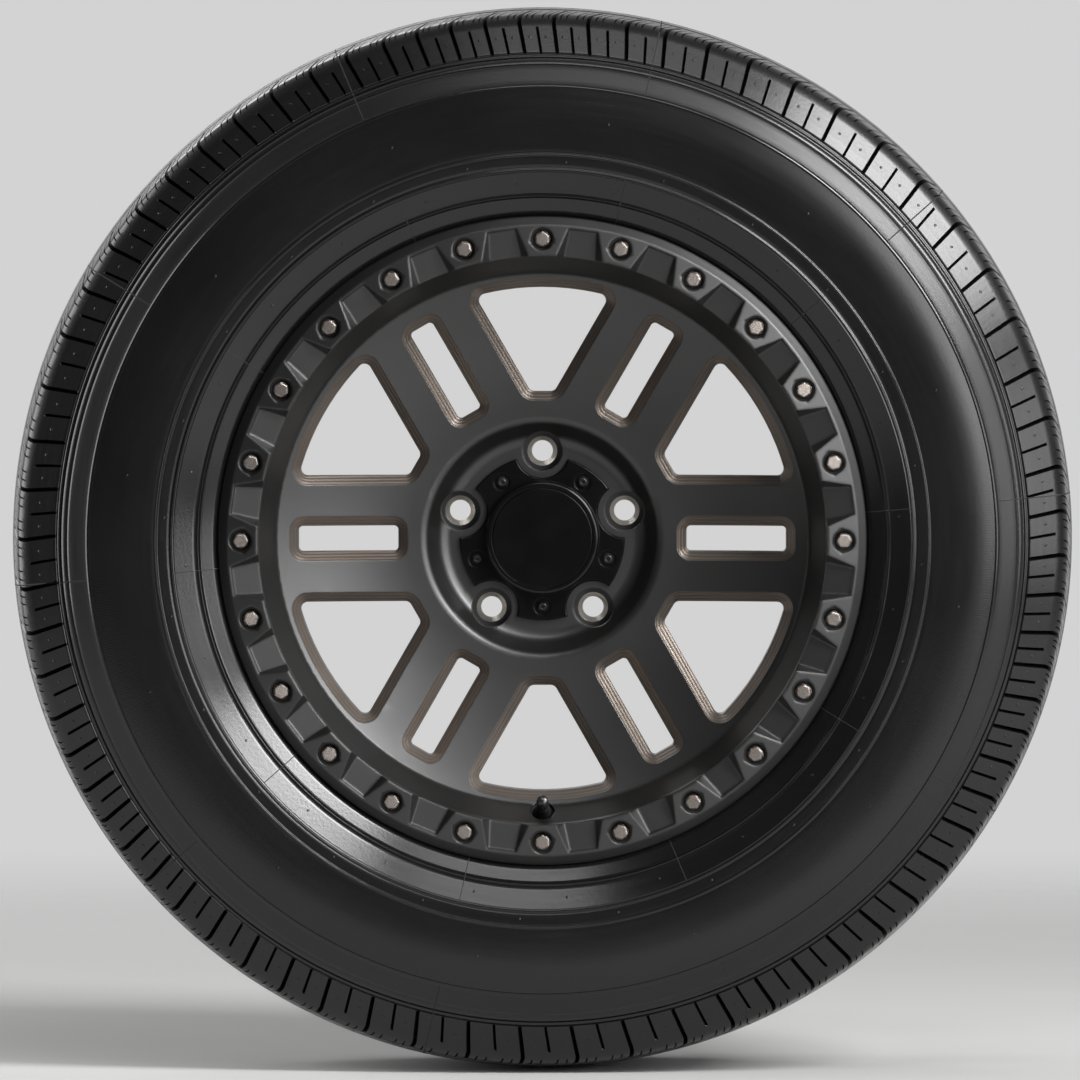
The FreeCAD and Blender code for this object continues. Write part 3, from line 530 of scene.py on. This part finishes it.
# Bands of the tyre by radius in metres. Seams between the mould's segments stop at the sidewall's face.
SEAM_FREE = (0.2850, 0.3532)
FACE_BAND = (0.3015, 0.3490)
COLLAR_BAND = (0.3532, 0.3670)
POLISHED_BANDS = ((0.2530, 0.2850), (0.2860, 0.2880), (0.2977, 0.2997), (0.3496, 0.3532), (0.3662, 0.3690))
# Seams: how many, angle of one in degrees, half width in radians, and how much rougher they are.
SEAMS = 10
SEAM_START = 41.0
SEAM_HALF = 0.0013
SEAM_ROUGH = 0.45
# Fine hatching: waves in one turn round the axis, and their height beside the grain of the rubber.
HATCH_WAVES = 1080.0
HATCH_HEIGHT = 0.06
GRAIN_HEIGHT = 0.34
COLLAR_GRAIN = 0.6
# How much rougher the collar is, and how much smoother the polished bands.
COLLAR_ROUGH = 0.08
POLISH = 0.06
# Stretch of the noise that streaks the rubber: across the radius, round the axis, along the depth.
STREAKS = (260.0, 5.0, 60.0)


def tyre_rubber(name, serrated):
    """Black rubber with grain, streaks and mould seams, and on the sidewall hatching and polished lines."""
    s = Shader(name)
    radius, angle, depth = s.polar()
    wide = s.noise(scale=9.0, detail=4.0)
    fine = s.noise(scale=420.0, detail=2.0)
    stretched = [s.math("MULTIPLY", part, scale) for part, scale in zip((radius, angle, depth), STREAKS)]
    swept = s.node("ShaderNodeCombineXYZ", dict(zip("XYZ", stretched)))
    streaks = s.noise(scale=1.0, vector=swept.outputs["Vector"])
    colour = s.ramp(wide, ((0.3, (0.004, 0.004, 0.0041)), (0.7, (0.0058, 0.0058, 0.0059))))
    rough = s.math("ADD", s.span(wide, low=0.22, high=0.28), s.span(streaks, low=-0.05, high=0.05))
    wave = s.math("ADD", s.math("MULTIPLY", angle, SEAMS / 2), -math.radians(SEAM_START) * SEAMS / 2)
    line = s.math("LESS_THAN", s.math("ABSOLUTE", s.math("SINE", wave)), SEAM_HALF * SEAMS / 2)
    low, high = SEAM_FREE
    seamed = s.math("ADD", s.math("LESS_THAN", radius, low), s.math("GREATER_THAN", radius, high))
    seam = s.math("MULTIPLY", line, seamed)
    rough = s.math("ADD", rough, s.math("MULTIPLY", seam, SEAM_ROUGH))
    height = s.math("ADD", s.math("MULTIPLY", fine, GRAIN_HEIGHT), seam)
    if serrated:
        hatch = s.math("MULTIPLY", s.math("SINE", s.math("MULTIPLY", angle, HATCH_WAVES)), HATCH_HEIGHT)
        collar = s.within(radius, *COLLAR_BAND)
        hatched = s.math("ADD", s.within(radius, *FACE_BAND), collar)
        speckle = s.noise(scale=900.0, detail=2.0)
        grain = s.math("MULTIPLY", speckle, s.math("MULTIPLY", collar, COLLAR_GRAIN))
        height = s.math("ADD", s.math("ADD", height, s.math("MULTIPLY", hatch, hatched)), grain)
        rough = s.math("ADD", rough, s.math("MULTIPLY", collar, COLLAR_ROUGH))
        for band in POLISHED_BANDS:
            rough = s.math("SUBTRACT", rough, s.math("MULTIPLY", s.within(radius, *band), POLISH))
    s.set(Base_Color=colour, Roughness=rough, Specular_IOR_Level=0.5)
    s.set(Normal=s.bump(height, strength=0.24, distance=0.0004))
    return s.material


def satin_paint(name, edge):
    """Near-black satin paint with a fine grain."""
    s = Shader(name)
    wide = s.noise(scale=14.0)
    grain = s.noise(scale=1500.0, detail=2.0)
    colour = s.ramp(wide, ((0.3, (0.005, 0.0049, 0.0048)), (0.7, (0.0075, 0.0073, 0.0071))))
    s.set(Base_Color=colour, Roughness=s.span(wide, low=0.35, high=0.41), Specular_IOR_Level=0.85)
    s.set(Normal=s.bump(grain, strength=0.12, distance=0.0002, normal=s.soft_edge(edge)))
    return s.material


def machined(name, colour, rough, lines, edge):
    """Bare or tinted metal with fine cutting lines round the wheel axis."""
    s = Shader(name)
    radius, _, depth = s.polar()
    rings = s.math("SINE", s.math("MULTIPLY", s.math("ADD", radius, depth), lines))
    wide = s.noise(scale=30.0)
    s.set(Base_Color=s.mottle(wide, colour, share=0.85), Metallic=0.9)
    s.set(Roughness=s.span(wide, rough - 0.05, rough + 0.05))
    s.set(Normal=s.bump(rings, strength=0.25, distance=0.0001, normal=s.soft_edge(edge)))
    return s.material


# The dished wheel face in metres: radius and depth at the hub lip and the rim lip, and the sag between them.
FACE_HUB = (0.095, -0.050)
FACE_RIM = (0.2065, -0.078)
FACE_SAG = 0.0054
# Finer lines between the cutting lines: how many to one, and their height.
FINE_LINES = 4.2
FINE_HEIGHT = 0.3


def bevel_metal(name, colour, rough, pitch, edge):
    """Tinted metal with cutting lines along the edges of the openings, at even depths below the face."""
    s = Shader(name)
    radius, _, depth = s.polar()
    half = (FACE_RIM[0] - FACE_HUB[0]) / 2
    along = s.math("DIVIDE", s.math("SUBTRACT", radius, FACE_HUB[0] + half), half)
    face = s.math("MULTIPLY", along, (FACE_RIM[1] - FACE_HUB[1]) / 2)
    sag = s.math("MULTIPLY", s.math("SUBTRACT", 1.0, s.math("MULTIPLY", along, along)), FACE_SAG)
    below = s.math("SUBTRACT", s.math("SUBTRACT", depth, face), sag)
    lines = s.math("SINE", s.math("MULTIPLY", below, 2 * math.pi / pitch))
    fine = s.math("SINE", s.math("MULTIPLY", below, FINE_LINES * 2 * math.pi / pitch))
    wide = s.noise(scale=30.0)
    shade = s.math("ADD", s.span(lines, 0.0, 0.5), s.math("MULTIPLY", wide, 0.5))
    s.set(Base_Color=s.mottle(shade, colour, share=0.8, start=0.2), Metallic=0.9)
    s.set(Roughness=s.span(wide, rough - 0.05, rough + 0.05))
    height = s.math("ADD", lines, s.math("MULTIPLY", fine, FINE_HEIGHT))
    s.set(Normal=s.bump(height, strength=0.27, distance=0.00025, normal=s.soft_edge(edge)))
    return s.material


def plastic(name, colour, rough, grain_scale, grain, edge, shine):
    """Moulded plastic, rubber or oxide finish with a fine grain."""
    s = Shader(name)
    wide = s.noise(scale=40.0)
    s.set(Base_Color=s.mottle(wide, colour, share=0.75), Specular_IOR_Level=shine)
    s.set(Roughness=s.span(wide, rough - 0.04, rough + 0.06))
    height = s.noise(grain_scale, detail=2.0)
    s.set(Normal=s.bump(height, strength=grain, distance=0.0002, normal=s.soft_edge(edge)))
    return s.material


def paint_node(node, *materials):
    """Give a CAD node these material slots."""
    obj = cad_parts[node]
    obj.data.materials.clear()
    for material in materials:
        obj.data.materials.append(material)
    return obj


def assign(obj, choose):
    """Give every face of a CAD node the material slot that choose(centre, normal) returns."""
    for face in obj.data.polygons:
        face.material_index = choose(face.center, face.normal)


# Wheel face sizes in millimetres, as in the CAD part. A facing is the span of Y in the normals of a finish.
SPOKES = 6
SPOKE_STEP = 2 * math.pi / SPOKES
WINDOW_OFFSET = 49.1
WINDOW_INNER_R = 114.5
WINDOW_OUTER_R = 195.8
SLIT_HALF = 9.9
SLIT_INNER_R = 112.3
SLIT_OUTER_R = 189.6
BEVEL_REACH = 8.6
BEVEL_MARGIN = BEVEL_REACH + 1
BEVEL_SPAN = (100.0, 205.0)
BEVEL_FACING = (-0.84, -0.25)
LUGS = 5
LUG_START = 90
LUG_CIRCLE_R = 67.5
LUG_SEAT_R = 11.7
SEAT_FACING = (-0.75, -0.2)
PAINT_SLOT, BEVEL_SLOT, SEAT_SLOT = range(3)


def wrap(angle):
    """Angle from the nearest multiple of the spokes' spacing."""
    return angle - round(angle / SPOKE_STEP) * SPOKE_STEP


def wheel_slot(centre, normal):
    """Slot of a wheel face: paint, machined bevel or bright lug seat."""
    x, z = centre.x / MM, centre.z / MM
    r = math.hypot(x, z)
    if SEAT_FACING[0] < normal.y < SEAT_FACING[1]:
        for k in range(LUGS):
            a = math.radians(LUG_START + 360 * k / LUGS)
            if math.hypot(x - LUG_CIRCLE_R * math.cos(a), z - LUG_CIRCLE_R * math.sin(a)) < LUG_SEAT_R:
                return SEAT_SLOT
    if not (BEVEL_SPAN[0] < r < BEVEL_SPAN[1] and BEVEL_FACING[0] < normal.y < BEVEL_FACING[1]):
        return PAINT_SLOT
    turn = math.atan2(z, x)
    spoke = wrap(turn)
    along, across = r * math.cos(spoke), abs(r * math.sin(spoke))
    beside_slit = across < SLIT_HALF + BEVEL_REACH
    if beside_slit and SLIT_INNER_R - BEVEL_MARGIN < along < SLIT_OUTER_R + BEVEL_MARGIN:
        return BEVEL_SLOT
    reach = r * math.cos(wrap(turn - SPOKE_STEP / 2))
    beside_window = across > WINDOW_OFFSET - BEVEL_MARGIN
    if beside_window and reach > WINDOW_INNER_R - BEVEL_MARGIN and r < WINDOW_OUTER_R + BEVEL_REACH:
        return BEVEL_SLOT
    return PAINT_SLOT


SHARP_ANGLE = math.radians(38)

tread_rubber = tyre_rubber("rubber_tread", False)
side_rubber = tyre_rubber("rubber_side", True)
tyre_pieces = [
    build_shoulder("tyre_shoulder_street", False),
    build_tread(),
    build_shoulder("tyre_shoulder_hub", True),
    build_side("tyre_side_street", False),
    build_side("tyre_side_hub", True),
    build_vents("tyre_vents_street", False),
    build_vents("tyre_vents_hub", True),
]
for piece in tyre_pieces:
    piece.data.materials.append(side_rubber if "side" in piece.name else tread_rubber)
    piece.data.set_sharp_from_angle(angle=SHARP_ANGLE)
    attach(piece, "wheel")
    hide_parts("tyre")

paint = satin_paint("wheel_satin_black", edge=0.0015)
ring_paint = satin_paint("ring_satin_black", edge=0.0026)
bronze = bevel_metal("bevel_tinted", (0.27, 0.23, 0.2), rough=0.4, pitch=0.0024, edge=0.0004)
seat_metal = machined("lug_seat_bare", (0.6, 0.56, 0.5), rough=0.3, lines=12000.0, edge=0.0003)
steel = machined("bolt_stainless", (0.34, 0.3, 0.275), rough=0.26, lines=15000.0, edge=0.0018)
brass = machined("valve_brass", (0.62, 0.46, 0.2), rough=0.3, lines=12000.0, edge=0.0002)
gloss = plastic(
    "cap_gloss_black", (0.0025, 0.0025, 0.0025),
    rough=0.2, grain_scale=900.0, grain=0.05, edge=0.0008, shine=0.32,
)
oxide = plastic(
    "screw_black_oxide", (0.016, 0.016, 0.017),
    rough=0.2, grain_scale=1500.0, grain=0.06, edge=0.0006, shine=0.9,
)
rubber = plastic(
    "valve_rubber_black", (0.016, 0.016, 0.016),
    rough=0.5, grain_scale=1800.0, grain=0.2, edge=0.0004, shine=0.4,
)
cap_black = plastic(
    "valve_cap_black", (0.015, 0.015, 0.015),
    rough=0.26, grain_scale=1800.0, grain=0.08, edge=0.0012, shine=0.8,
)

assign(paint_node("wheel", paint, bronze, seat_metal), wheel_slot)
paint_node("outer_ring", ring_paint)
paint_node("ring_bolts", steel)
paint_node("centre_cap", gloss)
paint_node("cap_disc", gloss)
paint_node("cap_screws", oxide)
paint_node("valve_stem", rubber)
paint_node("valve_tube", brass)
paint_node("valve_core", brass)
paint_node("valve_pin", brass)
paint_node("valve_cap", cap_black)

# Floor in metres: half its side, and the distances between which it fades out.
FLOOR_HALF = 4.0
FLOOR_FADE = (1.1, 3.4)


def build_floor(height):
    """Pale floor under the tyre that fades into the pale surroundings."""
    corners = ((-1, -1), (1, -1), (1, 1), (-1, 1))
    verts = [(x * FLOOR_HALF, y * FLOOR_HALF, height) for x, y in corners]
    obj = mesh_object("floor", verts, [(0, 1, 2, 3)])
    s = Shader("floor_pale")
    colour = s.ramp(s.noise(scale=2.0), ((0.3, (0.6, 0.6, 0.595)), (0.7, (0.63, 0.63, 0.625))))
    s.set(Base_Color=colour, Roughness=0.8, Specular_IOR_Level=0.2)
    x, y, _ = s.node("ShaderNodeSeparateXYZ", {"Vector": s.place()}).outputs
    near, far = FLOOR_FADE
    limits = {"Value": s.reach(x, y), "From Min": near, "From Max": far, "To Min": 1.0, "To Max": 0.0}
    fade = s.node("ShaderNodeMapRange", limits, interpolation_type="SMOOTHSTEP")
    s.set(Alpha=fade.outputs["Result"])
    obj.data.materials.append(s.material)


build_floor(cad_box[0][2])


def area_light(name, spot, size, power):
    """Lamp aimed at the wheel centre, its width running round the wheel axis."""
    light = bpy.data.lights.new(name, "AREA")
    light.shape = "RECTANGLE"
    light.size, light.size_y = size
    light.energy = power
    obj = new_object(name, light)
    obj.location = spot
    away = Vector(spot).normalized()
    wide = Vector((0.0, 1.0, 0.0)).cross(away).normalized()
    obj.rotation_euler = Matrix((wide, away.cross(wide), away)).transposed().to_euler()


area_light("key", spot=(2.54, -2.3, 2.38), size=(2.0, 1.1), power=185.0)
area_light("side", spot=(2.2, -3.7, 0.9), size=(1.8, 1.8), power=66.0)
area_light("rim", spot=(2.8, -1.75, 0.32), size=(1.2, 1.0), power=18.0)
area_light("top", spot=(0.4, -2.4, 3.2), size=(1.8, 1.0), power=24.0)
area_light("fill", spot=(-3.2, 0.45, 0.9), size=(3.2, 2.0), power=92.0)
area_light("back", spot=(-1.2, 3.2, 2.2), size=(1.6, 1.6), power=24.0)

# Surroundings: strength for the eye, for diffuse light, and for reflections of the room on the street side.
PALE = 0.65
AMBIENT = 0.06
ROOM = 0.06
# Reflections go from the room to the pale backdrop between these directions along the wheel axis.
MIRROR_SPAN = (-0.45, 0.3)


def build_world():
    """Pale surroundings for the eye and in reflections, which see a dimmer room on the street side."""
    world = bpy.data.worlds.new("studio")
    bpy.context.scene.world = world
    world.use_nodes = True
    nodes, links = world.node_tree.nodes, world.node_tree.links

    def blend(share, low, high):
        made = nodes.new("ShaderNodeMapRange")
        links.new(share, made.inputs["Value"])
        for key, value in (("To Min", low), ("To Max", high)):
            if isinstance(value, bpy.types.NodeSocket):
                links.new(value, made.inputs[key])
            else:
                made.inputs[key].default_value = value
        return made

    split = nodes.new("ShaderNodeSeparateXYZ")
    links.new(nodes.new("ShaderNodeTexCoord").outputs["Generated"], split.inputs["Vector"])
    mirror = blend(split.outputs["Y"], ROOM, PALE)
    mirror.interpolation_type = "SMOOTHSTEP"
    mirror.inputs["From Min"].default_value, mirror.inputs["From Max"].default_value = MIRROR_SPAN
    rays = nodes.new("ShaderNodeLightPath").outputs
    level = blend(rays["Is Glossy Ray"], AMBIENT, mirror.outputs["Result"]).outputs["Result"]
    for name in ("Is Camera Ray", "Is Transmission Ray"):
        level = blend(rays[name], level, PALE).outputs["Result"]
    links.new(level, nodes["Background"].inputs["Strength"])
    nodes["Background"].inputs["Color"].default_value = (1.0, 1.0, 1.0, 1.0)


build_world()

# Camera: nearly on the wheel axis, a little above it, with a long lens. Metres and degrees.
DISTANCE = 9.5
ELEVATION = 1.5
HALF_FRAME = 0.4229
CENTRE = (-0.0019, 0.0, -0.0027)
CLIP_END = 100.0
camera = bpy.data.cameras.new("camera")
camera.sensor_fit = "HORIZONTAL"
camera.angle = 2 * math.atan(HALF_FRAME / DISTANCE)
camera.clip_end = CLIP_END
eye = new_object("camera", camera)
rise = math.radians(ELEVATION)
eye.location = (CENTRE[0], -DISTANCE * math.cos(rise), CENTRE[2] + DISTANCE * math.sin(rise))
eye.rotation_euler = (math.radians(90) - rise, 0.0, 0.0)
bpy.context.scene.camera = eye
bpy.context.scene.view_settings.view_transform = "Standard"
